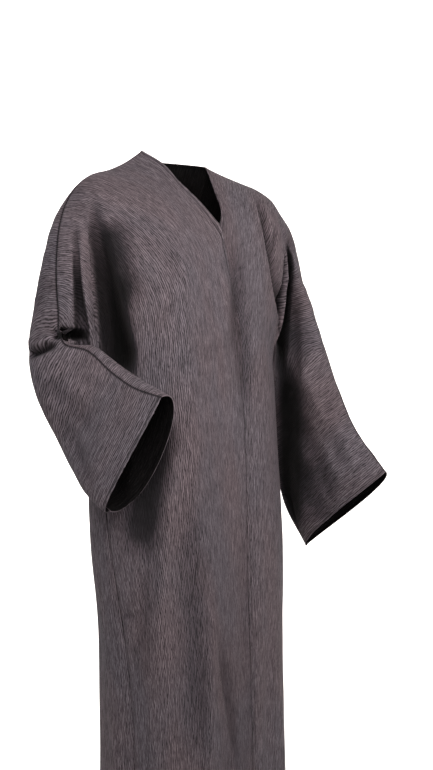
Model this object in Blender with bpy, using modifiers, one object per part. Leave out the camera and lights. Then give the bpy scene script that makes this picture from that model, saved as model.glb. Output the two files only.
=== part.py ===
"""An abaya in crinkle crepe, worn: two fronts and a back, each cut in one with its sleeve halves.

Metres, +Z up. The wearer faces -Y, so the wearer's right side is -X. The origin is the middle
of the neck, between the two shoulders that carry the robe. Every piece is a grid of thread
lines: each line starts at the overarm seam and runs down with the grain of the cloth, on the
body as far as the hem and on the sleeve as far as the underarm seam.
"""
import math
from collections import namedtuple

import bmesh
import bpy
import numpy as np

RIGHT, LEFT = -1, 1         # the wearer's sides, as signs of X
FRONT, BACK = 1, -1         # the two faces of the robe

# Cloth
WALL = 0.0015               # thickness of the cloth wall
SEAM_GAP = 0.0004           # air between two pieces where they are sewn together
MOST_PULL = 0.007           # furthest that a piece stops short of a sharp seam
CORNER_PULL = 0.0030        # more of this at the top of the side seams, where three folds meet
CORNER_LENGTH = 0.06        # height over which that runs out
UNDERLAP = 0.006            # how far the left front lies behind the right front
UNDERLAP_EASE = 0.035       # width over which the left front comes forward again

# Levels and runs
UNDERARM_Z = -0.46          # where side seam and underarm seam meet
HEM_Z = -1.42
CROSSING_Z = -0.149         # where the two front edges cross
SIDE_RUN = 0.29             # way along the overarm seam to the thread line of the side seam
BACK_LAND_Z = -0.20         # height where the cloth of the back neck meets the back
NECK_BACK_Y = 0.076         # middle of the back neck edge
NECK_BACK_Z = -0.003
NECK_SHARE = 0.24           # part of the half back that hangs from the back neck edge

# The clothed body, level by level: an ellipse with its own depth in front and behind. lap is
# how far the right front goes past the middle, underlap the left, and seam_turn is how far the
# side seam swings forward.
Level = namedtuple("Level", "z mid_x mid_y half_width front back lap underlap seam_turn")
LEVELS = [
    Level(-1.42, 0.016, -0.022, 0.199, 0.150, 0.122, 0.070, 0.050, 29),
    Level(-1.10, 0.016, -0.022, 0.197, 0.148, 0.120, 0.070, 0.050, 27),
    Level(-0.98, 0.014, -0.020, 0.199, 0.148, 0.122, 0.070, 0.050, 24),
    Level(-0.77, 0.007, -0.014, 0.210, 0.148, 0.128, 0.070, 0.050, 18),
    Level(-0.60, 0.004, -0.006, 0.206, 0.149, 0.128, 0.070, 0.050, 11),
    Level(-0.46, 0.003, 0.000, 0.200, 0.150, 0.122, 0.068, 0.044, 5),
    Level(-0.36, 0.000, 0.000, 0.193, 0.156, 0.117, 0.060, 0.030, 4),
    Level(-0.28, 0.000, 0.000, 0.190, 0.155, 0.113, 0.042, 0.010, 4),
    Level(-0.20, 0.000, 0.000, 0.184, 0.135, 0.110, 0.030, -0.018, 4),
    Level(-0.15, 0.000, 0.000, 0.178, 0.107, 0.106, 0.034, -0.034, 4),
    Level(-0.10, 0.000, 0.000, 0.172, 0.085, 0.100, 0.034, -0.034, 4),
]

# Overarm seam from neck to cuff. turn is the heading in which the front leaves the seam, in
# degrees from +X, and the back leaves the other way. The two reaches round the cloth over, and
# the front rises from the seam where that lies below the top of the arm.
Over = namedtuple("Over", "place x y z turn front_reach back_reach rise")
OVERARM = {
    RIGHT: [
        Over("neck", -0.075, 0.030, 0.012, -52, 0.050, 0.020, 0.000),
        Over("slope", -0.110, 0.028, -0.012, -66, 0.060, 0.035, 0.000),
        Over("shoulder", -0.150, 0.024, -0.031, -76, 0.075, 0.050, 0.000),
        Over("point", -0.196, 0.020, -0.046, -80, 0.080, 0.065, 0.000),
        Over("cap", -0.230, 0.018, -0.074, -80, 0.085, 0.085, 0.000),
        Over("below cap", -0.250, 0.018, -0.106, -72, 0.085, 0.092, 0.000),
        Over("upper arm", -0.269, 0.005, -0.148, -64, 0.085, 0.100, 0.000),
        Over("mid upper arm", -0.283, -0.010, -0.206, -60, 0.080, 0.110, 0.000),
        Over("low upper arm", -0.288, -0.019, -0.266, -58, 0.066, 0.110, 0.000),
        Over("above elbow", -0.285, -0.026, -0.340, -48, 0.042, 0.104, 0.000),
        Over("elbow", -0.284, -0.030, -0.380, -20, 0.034, 0.068, 0.020),
        Over("below elbow", -0.247, -0.077, -0.402, 20, 0.062, 0.040, 0.085),
        Over("forearm", -0.222, -0.126, -0.442, 24, 0.090, 0.020, 0.105),
        Over("low forearm", -0.196, -0.174, -0.473, 16, 0.100, 0.015, 0.100),
        Over("cuff", -0.1625, -0.218, -0.490, 6, 0.088, 0.012, 0.060),
    ],
    LEFT: [
        Over("neck", 0.075, 0.030, -0.012, -128, 0.050, 0.020, 0.000),
        Over("slope", 0.1106, 0.027, -0.026, -114, 0.060, 0.035, 0.000),
        Over("shoulder", 0.1528, 0.024, -0.040, -104, 0.075, 0.050, 0.000),
        Over("point", 0.1950, 0.020, -0.054, -100, 0.080, 0.065, 0.000),
        Over("cap", 0.2263, 0.016, -0.074, -100, 0.085, 0.075, 0.000),
        Over("below cap", 0.2410, 0.006, -0.100, -108, 0.085, 0.070, 0.000),
        Over("upper arm", 0.2568, -0.010, -0.135, -116, 0.085, 0.065, 0.000),
        Over("mid upper arm", 0.2680, -0.024, -0.190, -120, 0.085, 0.060, 0.000),
        Over("low upper arm", 0.2740, -0.037, -0.250, -122, 0.080, 0.060, 0.000),
        Over("above elbow", 0.2887, -0.057, -0.3277, -125, 0.080, 0.060, 0.000),
        Over("elbow", 0.3020, -0.076, -0.3847, -130, 0.080, 0.060, 0.000),
        Over("below elbow", 0.3160, -0.102, -0.467, -140, 0.085, 0.060, 0.000),
        Over("forearm", 0.3290, -0.150, -0.557, -146, 0.085, 0.060, 0.000),
        Over("cuff", 0.3630, -0.2095, -0.645, -149, 0.050, 0.070, 0.000),
    ],
}

# Underarm seam, outward from the body, at the same runs as the overarm seam. lift holds the
# cloth up above the seam, so that near the body it comes down to it upright.
Under = namedtuple("Under", "run x y z front_reach back_reach lift")
UNDERARM = {
    RIGHT: [
        Under(0.29, -0.1963, -0.0131, -0.460, 0.065, 0.035, 0.100),
        Under(0.36, -0.235, 0.006, -0.472, 0.070, 0.045, 0.070),
        Under(0.44, -0.276, 0.034, -0.490, 0.050, 0.040, 0.050),
        Under(0.50, -0.288, 0.012, -0.526, 0.040, 0.032, 0.020),
        Under(0.59, -0.270, -0.037, -0.615, 0.055, 0.032, 0.000),
        Under(0.68, -0.252, -0.085, -0.670, 0.060, 0.045, -0.015),
        Under(0.78, -0.217, -0.142, -0.721, 0.095, 0.050, -0.030),
    ],
    LEFT: [
        Under(0.29, 0.2022, -0.0131, -0.460, 0.060, 0.035, 0.100),
        Under(0.40, 0.229, 0.000, -0.485, 0.044, 0.044, 0.050),
        Under(0.50, 0.235, 0.020, -0.530, 0.035, 0.040, 0.020),
        Under(0.59, 0.238, 0.014, -0.600, 0.036, 0.045, 0.000),
        Under(0.70, 0.249, -0.002, -0.715, 0.036, 0.050, -0.010),
        Under(0.80, 0.277, -0.0445, -0.806, 0.040, 0.055, -0.010),
    ],
}

# Front edges above their crossing, from the neck down
Edge = namedtuple("Edge", "z x y")
NECKLINE = {
    RIGHT: [
        Edge(0.012, -0.075, 0.030),
        Edge(-0.0125, -0.048, 0.000),
        Edge(-0.055, -0.027, -0.040),
        Edge(-0.099, 0.003, -0.075),
        Edge(CROSSING_Z, 0.034, -0.105),
    ],
    LEFT: [
        Edge(-0.012, 0.075, 0.030),
        Edge(-0.035, 0.070, 0.005),
        Edge(-0.070, 0.061, -0.032),
        Edge(-0.1035, 0.055, -0.066),
        Edge(-0.130, 0.044, -0.090),
        Edge(CROSSING_Z, 0.034, -0.103),
    ],
}

# Troughs in the fronts between chest and arm. across and z are read on an upright plane turned
# 30 degrees from the front towards that side, and the trough is pressed square into it. inner
# and outer are its half widths towards the chest and towards the arm.
Trough = namedtuple("Trough", "place top_across top_z low_across low_z inner outer depth")
TROUGH_TURN = math.radians(30)
TROUGH_END = 0.075          # height over which a trough runs out below its low end
TROUGH_RUNS = 0.44, 0.52    # the sleeve is untouched beyond these runs
TROUGH_FLOOR = -0.128       # no trough is pressed further back than this beside the arm,
DEEP_FLOOR = -0.050         # and than this beside the chest
FLOOR_ACROSS = 0.174, 0.122  # between these places
TROUGH_EDGE = 0.5           # how much sharper the rim of a trough is at its low end
TROUGHS = {
    RIGHT: [
        Trough("hollow beside the chest", 0.174, -0.075, 0.131, -0.400, 0.048, 0.026, 0.160),
        Trough("gap beside the arm", 0.203, -0.180, 0.190, -0.360, 0.014, 0.017, 0.070),
    ],
    LEFT: [
        Trough("hollow beside the chest", 0.168, -0.080, 0.180, -0.400, 0.032, 0.022, 0.050),
    ],
}

# Crease at the bent right elbow, pressed towards the arm. Its depth goes from at_seam to the
# depth of each face within growth, and ends part of the way round. lip is the roll beyond it.
Crease = namedtuple("Crease", "run half_width at_seam front back growth front_end back_end lip lip_run")
ELBOW = Crease(0.462, 0.026, 0.012, 0.030, 0.022, 0.15, 0.50, 0.40, 0.006, 0.034)
CORE_DROP = 0.05            # depth of the arm's middle below the overarm seam

# Soft upright waves of the skirt. turn runs from the front middle towards the wearer's right.
Wave = namedtuple("Wave", "turn top_z half_turn height")
WAVE_LENGTH = 0.45          # height over which a wave grows to its full height
WAVES = [
    Wave(66, -0.80, 14, -0.007), Wave(43, -0.55, 16, 0.007), Wave(27, -0.62, 13, -0.007),
    Wave(12, -0.80, 11, 0.009), Wave(1.5, -0.92, 7, -0.009), Wave(-10, -0.86, 12, 0.007),
    Wave(-30, -0.75, 14, -0.006), Wave(-50, -0.85, 13, 0.007), Wave(-74, -0.80, 13, -0.006),
    Wave(-98, -0.90, 13, 0.006), Wave(-122, -0.70, 15, -0.008), Wave(-148, -0.60, 15, 0.008),
    Wave(-172, -0.65, 14, -0.007), Wave(164, -0.55, 14, 0.008), Wave(138, -0.70, 15, -0.008),
    Wave(112, -0.75, 14, 0.006), Wave(90, -0.90, 12, -0.004),
]

# Rows and columns of the cloth grid
Stretch = namedtuple("Stretch", "end steps")
TORSO_STEPS = {
    RIGHT: [Stretch(0.16, 7), Stretch(SIDE_RUN, 12)],
    LEFT: [Stretch(SIDE_RUN, 13)],
}
SLEEVE_STEPS = {
    RIGHT: [Stretch(0.42, 13), Stretch(0.45, 2), Stretch(0.52, 8), Stretch(1.0, 11)],
    LEFT: [Stretch(1.0, 18)],
}
NECK_COLUMNS = 3
UPPER_ROWS = {FRONT: 19, BACK: 12}
LOWER_ROWS = 13
PATH_POINTS = 80


def smooth(xs, ys, at):
    """Values at `at` on a smooth curve through (xs, ys), whose xs rise."""
    xs = np.asarray(xs, float)
    ys = np.asarray(ys, float)
    at = np.clip(np.asarray(at, float), xs[0], xs[-1])
    steps = np.diff(xs)
    rises = np.diff(ys) / steps
    slopes = np.empty_like(ys)
    slopes[1:-1] = (rises[:-1] * steps[1:] + rises[1:] * steps[:-1]) / (steps[1:] + steps[:-1])
    slopes[0] = rises[0]
    slopes[-1] = rises[-1]
    i = np.clip(np.searchsorted(xs, at, side="right") - 1, 0, len(steps) - 1)
    t = (at - xs[i]) / steps[i]
    h = steps[i]
    return ((2 * t**3 - 3 * t**2 + 1) * ys[i] + (t**3 - 2 * t**2 + t) * h * slopes[i]
            + (-2 * t**3 + 3 * t**2) * ys[i + 1] + (t**3 - t**2) * h * slopes[i + 1])


def column(rows, name):
    return [getattr(row, name) for row in rows]


def ease(t):
    """Goes softly from 0 to 1."""
    t = np.clip(t, 0, 1)
    return t * t * (3 - 2 * t)


def bump(off):
    """A soft bump, 1 where off is 0, and 0 from 1 on either side."""
    return np.where(np.abs(off) < 1, 0.5 + 0.5 * np.cos(np.pi * off), 0)


def level(name, z):
    """One size of the clothed body at height z."""
    return smooth(column(LEVELS, "z"), column(LEVELS, name), z)


def wave_height(turn, z):
    """How far the skirt stands out at a turn towards the wearer's right."""
    height = np.zeros(np.broadcast(turn, z).shape)
    for wave in WAVES:
        off = (turn - wave.turn + 180) % 360 - 180
        grown = ease((wave.top_z - z) / WAVE_LENGTH)
        height = height + wave.height * bump(off / wave.half_turn) * grown
    return height


def body_point(side, turn, z):
    """Point of the clothed body: turn 0 is the front middle, 90 the side, 180 the back middle."""
    out = wave_height(-side * turn, z)
    turn = np.radians(turn)
    depth = np.where(np.cos(turn) > 0, level("front", z), level("back", z)) + out
    x = level("mid_x", z) + side * (level("half_width", z) + out) * np.sin(turn)
    y = level("mid_y", z) - depth * np.cos(turn)
    return np.stack([x, y, np.broadcast_to(z, x.shape)], axis=-1)


def line_turn(side, face, share, z):
    """Turn at which a thread line lies on the body. Share 1 is the side seam, 0 the other edge."""
    seam = 90 - level("seam_turn", z)
    if face == FRONT:
        past = level("lap" if side == RIGHT else "underlap", z) + side * level("mid_x", z)
        edge = -np.degrees(np.arcsin(past / level("half_width", z)))
    else:
        edge = np.full_like(seam, 180.0)
    return edge + (seam - edge) * share


def over_runs(side):
    points = np.array([(row.x, row.y, row.z) for row in OVERARM[side]])
    return np.concatenate([[0], np.cumsum(np.linalg.norm(np.diff(points, axis=0), axis=1))])


def over(side, name, run):
    return float(smooth(over_runs(side), column(OVERARM[side], name), run))


def under(side, name, run):
    return float(smooth(column(UNDERARM[side], "run"), column(UNDERARM[side], name), run))


def over_point(side, run):
    return np.array([over(side, axis, run) for axis in "xyz"])


def heading(side, run, face):
    """Level direction in which the front or the back leaves the overarm seam."""
    turn = math.radians(over(side, "turn", run))
    return face * np.array([math.cos(turn), math.sin(turn), 0])


def bezier(start, leave, arrive, end):
    t = np.linspace(0, 1, PATH_POINTS)[:, None]
    return ((1 - t)**3 * start + 3 * (1 - t)**2 * t * leave
            + 3 * (1 - t) * t**2 * arrive + t**3 * end)


def even_points(path, count):
    """Points at even steps along a path."""
    lengths = np.concatenate([[0], np.cumsum(np.linalg.norm(np.diff(path, axis=0), axis=1))])
    places = np.linspace(0, lengths[-1], count)
    return np.stack([np.interp(places, lengths, path[:, k]) for k in range(3)], axis=-1)


def reach_name(face):
    return "front_reach" if face == FRONT else "back_reach"


def ring_path(side, face, run, end, low_reach, lift):
    """Way of a thread line from the overarm seam down to a given end."""
    start = over_point(side, run)
    out = heading(side, run, face)
    reach = over(side, reach_name(face), run)
    rise = over(side, "rise", run) * face * reach / over(side, "front_reach", run)
    leave = start + out * reach + np.array([0, 0, rise - 0.12 * (start[2] - end[2])])
    arrive = end + out * low_reach + np.array([0, 0, lift])
    return bezier(start, leave, arrive, end)


def edge_path(side):
    """Front edge from the neck to the crossing."""
    rows = NECKLINE[side][::-1]
    heights = np.linspace(rows[-1].z, rows[0].z, PATH_POINTS)
    zs = column(rows, "z")
    return np.stack([smooth(zs, column(rows, "x"), heights),
                     smooth(zs, column(rows, "y"), heights), heights], axis=-1)


def neck_path(side, share):
    """Line down from the back neck edge; share 0 is the back middle, 1 the neck point."""
    corner = over_point(side, 0)
    turn = 0.5 * math.pi * share
    start = np.array([corner[0] * math.sin(turn),
                      corner[1] + (NECK_BACK_Y - corner[1]) * math.cos(turn),
                      NECK_BACK_Z + (corner[2] - NECK_BACK_Z) * (1 - math.cos(turn))])
    low_turn = line_turn(side, BACK, NECK_SHARE * share, np.array([BACK_LAND_Z]))
    end = body_point(side, low_turn, np.array([BACK_LAND_Z]))[0]
    out = heading(side, 0, BACK) * share + np.array([0, 1, 0]) * (1 - share)
    drop = start[2] - end[2]
    leave = start + out * over(side, "back_reach", 0) - np.array([0, 0, 0.12 * drop])
    arrive = end + np.array([0, 0, 0.40 * drop])
    return bezier(start, leave, arrive, end)


def torso_line(side, face, share, rows):
    """Thread line from the overarm seam, the neck or the front edge to the underarm level."""
    run = share * SIDE_RUN
    if face == FRONT:
        land_z = CROSSING_Z + (UNDERARM_Z - CROSSING_Z) * share**0.7
        body_share = share
    else:
        land_z = BACK_LAND_Z + (UNDERARM_Z - BACK_LAND_Z) * share
        body_share = NECK_SHARE + (1 - NECK_SHARE) * share
    zs = np.linspace(land_z, UNDERARM_Z, PATH_POINTS)
    low = body_point(side, line_turn(side, face, body_share, zs), zs)
    if face == FRONT and share == 0:
        hang = edge_path(side)
    else:
        drop = over(side, "z", run) - low[0][2]
        low_reach = under(side, reach_name(face), SIDE_RUN) * share**2
        hang = ring_path(side, face, run, low[0], low_reach, 0.40 * drop)
    return even_points(np.concatenate([hang, low[1:]]), rows + 1)


def sleeve_line(side, face, run, rows):
    """Thread line round the sleeve from the overarm seam to the underarm seam."""
    end = np.array([under(side, axis, run) for axis in "xyz"])
    low_reach = under(side, reach_name(face), run)
    return even_points(ring_path(side, face, run, end, low_reach, under(side, "lift", run)),
                       rows + 1)


def hanging_lines(side, face, shares):
    """The same thread lines below the underarm level."""
    zs = np.linspace(UNDERARM_Z, HEM_Z, LOWER_ROWS + 1)
    return np.array([body_point(side, line_turn(side, face, share, zs), zs) for share in shares])


def press_troughs(side, points, weight):
    """Presses the troughs of one side into the points of its front."""
    cos, sin = math.cos(TROUGH_TURN), math.sin(TROUGH_TURN)
    across = side * points[..., 0] * cos + points[..., 1] * sin
    inward = np.array([-side * sin, cos, 0])
    shift = np.zeros(across.shape)
    for row in TROUGHS[side]:
        way = (row.top_z - points[..., 2]) / (row.top_z - row.low_z)
        middle = row.top_across + (row.low_across - row.top_across) * np.clip(way, 0, 1)
        spread = 0.35 + 0.65 * np.clip(way, 0, 1)
        off = across - middle
        half = np.where(off < 0, row.inner, row.outer) * spread
        sharp = 1 - TROUGH_EDGE * np.clip(way, 0, 1)
        below = (row.low_z - points[..., 2]) / TROUGH_END
        shift = shift + row.depth * bump(off / half)**sharp * ease(way) * (1 - ease(below))
    first, last = FLOOR_ACROSS
    floor = TROUGH_FLOOR + (DEEP_FLOOR - TROUGH_FLOOR) * ease((across - first) / (last - first))
    room = np.maximum(floor - points @ inward, 0.0001)
    shift = weight * shift / (1 + (shift / room)**3)**(1 / 3)
    return points + shift[..., None] * inward


def press_elbow(points, runs, face):
    """Presses the elbow crease into a sleeve, and raises the roll beyond it."""
    places = np.linspace(0, 1, points.shape[1])[None, :]
    seams = np.array([over_point(RIGHT, run) for run in runs])
    ends = np.array([[under(RIGHT, axis, run) for axis in "xyz"] for run in runs])
    downs = (ends - seams) / np.linalg.norm(ends - seams, axis=1)[:, None]
    core = (seams + downs * CORE_DROP)[:, None, :]
    inward = (core - points) / np.linalg.norm(core - points, axis=2)[..., None]
    most, last = (ELBOW.front, ELBOW.front_end) if face == FRONT else (ELBOW.back, ELBOW.back_end)
    grown = ease(places / ELBOW.growth)
    depth = ELBOW.at_seam + (most - ELBOW.at_seam) * grown
    off = (runs - ELBOW.run)[:, None] / ELBOW.half_width
    roll = (runs - ELBOW.run - ELBOW.lip_run)[:, None] / ELBOW.half_width
    shift = (depth * bump(off) - ELBOW.lip * bump(roll)) * (1 - ease(places / last))
    return points + shift[..., None] * inward


def lay_under(points):
    """Moves the left front back where the right front covers it."""
    z = points[..., 2]
    rows = NECKLINE[RIGHT][::-1]
    neck = smooth(column(rows, "z"), column(rows, "x"), z)
    cover = np.where(z > CROSSING_Z, neck, level("lap", z))
    covered = 1 - ease((points[..., 0] - cover) / UNDERLAP_EASE)
    return points + (UNDERLAP * covered)[..., None] * np.array([0, 1, 0])


def stations(start, stretches, most):
    """Runs of the thread lines, in stretches of even steps."""
    runs = [start]
    for stretch in stretches:
        runs += list(np.linspace(runs[-1], min(stretch.end, most), stretch.steps + 1)[1:])
    return np.array(runs)


def half_panel(side, face):
    """Grid points of one half panel: torso lines by all rows, sleeve lines by upper rows."""
    rows = UPPER_ROWS[face]
    shares = stations(0, TORSO_STEPS[side], SIDE_RUN) / SIDE_RUN
    runs = stations(SIDE_RUN, SLEEVE_STEPS[side], over_runs(side)[-1])
    upper = np.array([torso_line(side, face, share, rows) for share in shares])
    sleeve = np.array([sleeve_line(side, face, run, rows) for run in runs])
    sleeve[0] = upper[-1]
    if side == RIGHT:
        sleeve = press_elbow(sleeve, runs, face)
    if face == FRONT:
        body_shares = shares
        first, last = TROUGH_RUNS
        fade = 1 - ease((runs - first) / (last - first))
        upper = press_troughs(side, upper, np.ones(upper.shape[:2]))
        sleeve = press_troughs(side, sleeve, fade[:, None] * np.ones(sleeve.shape[:2]))
    else:
        body_shares = NECK_SHARE + (1 - NECK_SHARE) * shares
    lower = hanging_lines(side, face, body_shares)
    torso = np.concatenate([upper, lower[:, 1:]], axis=1)
    if (side, face) == (LEFT, FRONT):
        torso = lay_under(torso)
    return torso, sleeve


def part_edges(front_edge, front_next, back_edge, back_next, extra=0.0):
    """Draws two seam edges apart by the seam's gap, and further where they meet sharply."""
    along = np.gradient(front_edge, axis=0)
    along /= np.linalg.norm(along, axis=-1)[..., None]
    ways = []
    for edge, beside in ((front_edge, front_next), (back_edge, back_next)):
        way = beside - edge
        way = way - np.sum(way * along, axis=-1)[..., None] * along
        ways.append(way / np.linalg.norm(way, axis=-1)[..., None])
    half_angle = 0.5 * np.arccos(np.clip(np.sum(ways[0] * ways[1], axis=-1), -1, 1))
    pull = 0.5 * SEAM_GAP / np.sin(half_angle) + 0.5 * WALL / np.tan(half_angle) + extra
    pull = np.minimum(pull, MOST_PULL)[..., None]
    return front_edge + ways[0] * pull, back_edge + ways[1] * pull


def open_seams(front, back):
    """Opens the overarm, underarm and side seams between a front and its half of the back."""
    front_torso, front_sleeve = front
    back_torso, back_sleeve = back
    f_rows, b_rows = UPPER_ROWS[FRONT], UPPER_ROWS[BACK]
    for f_grid, b_grid in ((front_torso, back_torso), (front_sleeve, back_sleeve)):
        f_grid[:, 0], b_grid[:, 0] = part_edges(f_grid[:, 0], f_grid[:, 1], b_grid[:, 0], b_grid[:, 1])
    below = (UNDERARM_Z - front_torso[-1, f_rows:, 2]) / CORNER_LENGTH
    front_torso[-1, f_rows:], back_torso[-1, b_rows:] = part_edges(
        front_torso[-1, f_rows:], front_torso[-2, f_rows:],
        back_torso[-1, b_rows:], back_torso[-2, b_rows:], CORNER_PULL * (1 - ease(below)))
    front_sleeve[1:, -1], back_sleeve[1:, -1] = part_edges(
        front_sleeve[1:, -1], front_sleeve[1:, -2], back_sleeve[1:, -1], back_sleeve[1:, -2])
    front_sleeve[0] = front_torso[-1, :f_rows + 1]
    back_sleeve[0] = back_torso[-1, :b_rows + 1]


def neck_panel():
    """Grid points of the middle of the back, below the back neck edge."""
    rows = UPPER_ROWS[BACK]
    lines = []
    for side, shares in ((RIGHT, np.linspace(1, 0, NECK_COLUMNS + 1)),
                         (LEFT, np.linspace(0, 1, NECK_COLUMNS + 1)[1:])):
        for share in shares:
            hang = neck_path(side, share)
            zs = np.linspace(BACK_LAND_Z, UNDERARM_Z, PATH_POINTS)
            low = body_point(side, line_turn(side, BACK, NECK_SHARE * share, zs), zs)
            upper = even_points(np.concatenate([hang, low[1:]]), rows + 1)
            lower = hanging_lines(side, BACK, [NECK_SHARE * share])[0]
            lines.append(np.concatenate([upper, lower[1:]]))
    return np.array(lines)


def grid_mesh(bm, points):
    """Adds a flat grid and moves its corners to the given array of points."""
    columns, rows = points.shape[:2]
    made = bmesh.ops.create_grid(bm, x_segments=columns - 1, y_segments=rows - 1, size=0.5)
    for vert in made["verts"]:
        i = round((vert.co.x + 0.5) * (columns - 1))
        j = round((0.5 - vert.co.y) * (rows - 1))
        vert.co = points[i, j]


def cloth_material(name, colour, roughness):
    material = bpy.data.materials.new(name)
    material.use_nodes = True
    shader = material.node_tree.nodes["Principled BSDF"]
    shader.inputs["Base Color"].default_value = (*colour, 1)
    shader.inputs["Roughness"].default_value = roughness
    return material


def cloth_object(name, grids, material, robe):
    """One piece of cloth: its grids joined, with a wall on them."""
    mesh = bpy.data.meshes.new(name)
    bm = bmesh.new()
    for points in grids:
        grid_mesh(bm, points)
    bmesh.ops.remove_doubles(bm, verts=bm.verts, dist=0.00005)
    bmesh.ops.triangulate(bm, faces=bm.faces, quad_method="SHORT_EDGE")
    bmesh.ops.recalc_face_normals(bm, faces=bm.faces)
    bm.to_mesh(mesh)
    bm.free()
    obj = bpy.data.objects.new(name, mesh)
    robe.objects.link(obj)
    obj.data.materials.append(material)
    wall = obj.modifiers.new("Wall", "SOLIDIFY")
    wall.thickness = WALL
    wall.offset = 0
    obj.data.shade_smooth()


def main():
    for obj in list(bpy.data.objects):
        bpy.data.objects.remove(obj)
    robe = bpy.data.collections.new("Abaya")
    bpy.context.scene.collection.children.link(robe)
    crepe = cloth_material("Charcoal crinkle crepe", (0.10, 0.09, 0.095), 0.85)
    halves = {(side, face): half_panel(side, face)
              for side in (RIGHT, LEFT) for face in (FRONT, BACK)}
    middle = neck_panel()
    for side, column_at in ((RIGHT, 0), (LEFT, -1)):
        open_seams(halves[side, FRONT], halves[side, BACK])
        middle[column_at] = halves[side, BACK][0][0]
    cloth_object("front_right", halves[RIGHT, FRONT], crepe, robe)
    cloth_object("front_left", halves[LEFT, FRONT], crepe, robe)
    cloth_object("back", [*halves[RIGHT, BACK], middle, *halves[LEFT, BACK]], crepe, robe)


main()
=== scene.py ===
# %% [markdown]
# # An abaya in charcoal crinkle crepe
#
# The real robe is cut from three flat pieces of cloth: two fronts and a back, each in one with
# its sleeve halves. This script drapes the three pieces over a general figure that isn't there,
# so the cloth stays hollow, and the neck, the cuffs and the hem are open.
#
# First the imported model is loaded, and its solids are kept by name, with their placing applied.

# %% Load the frame
import math
from collections import namedtuple

import bmesh
import bpy
import numpy as np
from mathutils import Matrix, Vector, noise


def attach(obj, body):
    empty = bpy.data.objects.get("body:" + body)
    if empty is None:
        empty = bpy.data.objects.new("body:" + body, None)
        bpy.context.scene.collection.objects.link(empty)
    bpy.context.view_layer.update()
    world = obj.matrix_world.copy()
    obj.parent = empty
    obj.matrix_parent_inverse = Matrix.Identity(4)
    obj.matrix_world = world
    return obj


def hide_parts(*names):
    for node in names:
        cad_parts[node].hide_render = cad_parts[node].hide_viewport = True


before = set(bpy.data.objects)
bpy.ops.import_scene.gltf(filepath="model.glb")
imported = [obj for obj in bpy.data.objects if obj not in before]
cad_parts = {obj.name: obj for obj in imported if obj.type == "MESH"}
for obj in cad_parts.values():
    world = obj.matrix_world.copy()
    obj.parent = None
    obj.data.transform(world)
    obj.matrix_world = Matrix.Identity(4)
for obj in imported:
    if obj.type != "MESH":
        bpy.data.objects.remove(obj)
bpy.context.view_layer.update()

# %% [markdown]
# ## Sides and heights
#
# A worn robe could be simulated on a figure, but here the folds have known places, so every
# surface is worked out from a few tables: the body of the robe level by level, and the two seams
# of each sleeve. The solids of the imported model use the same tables, but for up to a centimetre
# along the underside of the left sleeve, so cloth and solids show one robe. Sizes are in metres,
# with Z up and the front towards -Y.

# %% Sides and heights
RIGHT, LEFT = -1, 1         # the robe's own sides, as signs of X
FRONT, BACK = 1, -1         # the two faces of the robe
UNDERARM_Z = -0.46          # where side seam and underarm seam meet
HEM_Z = -1.42
CROSSING_Z = -0.149         # where the two front edges cross
print("from neck to hem:", -HEM_Z, "m")

# %% [markdown]
# ## Curves through the tables
#
# Between two rows of a table each size changes smoothly. A cubic curve with the slopes of its
# neighbours does that without overshoot that the eye could see, so no fold is there by accident.

# %% Curve helpers
def smooth(xs, ys, at):
    """Values at `at` on a smooth curve through (xs, ys), whose xs rise."""
    xs = np.asarray(xs, float)
    ys = np.asarray(ys, float)
    at = np.clip(np.asarray(at, float), xs[0], xs[-1])
    steps = np.diff(xs)
    rises = np.diff(ys) / steps
    slopes = np.empty_like(ys)
    slopes[1:-1] = (rises[:-1] * steps[1:] + rises[1:] * steps[:-1]) / (steps[1:] + steps[:-1])
    slopes[0] = rises[0]
    slopes[-1] = rises[-1]
    i = np.clip(np.searchsorted(xs, at, side="right") - 1, 0, len(steps) - 1)
    t = (at - xs[i]) / steps[i]
    h = steps[i]
    return ((2 * t**3 - 3 * t**2 + 1) * ys[i] + (t**3 - 2 * t**2 + t) * h * slopes[i]
            + (-2 * t**3 + 3 * t**2) * ys[i + 1] + (t**3 - t**2) * h * slopes[i + 1])


def column(rows, name):
    """One size from every row of a table."""
    return [getattr(row, name) for row in rows]


def ease(t):
    """Goes softly from 0 to 1."""
    t = np.clip(t, 0, 1)
    return t * t * (3 - 2 * t)


def bump(off):
    """A soft bump, 1 where off is 0, and 0 from 1 on either side."""
    return np.where(np.abs(off) < 1, 0.5 + 0.5 * np.cos(np.pi * off), 0)


print("a soft step at its quarters:", [round(float(ease(t)), 3) for t in (0, 0.25, 0.5, 0.75, 1)])

# %% [markdown]
# ## The body of the robe
#
# Below the arms the cloth hangs in an oval, deeper in front than behind, with soft upright waves
# that grow towards the hem. A thread line is one warp thread of the cloth: it runs down the robe,
# and all the pieces are made of such lines, as the real cloth is.

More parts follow.
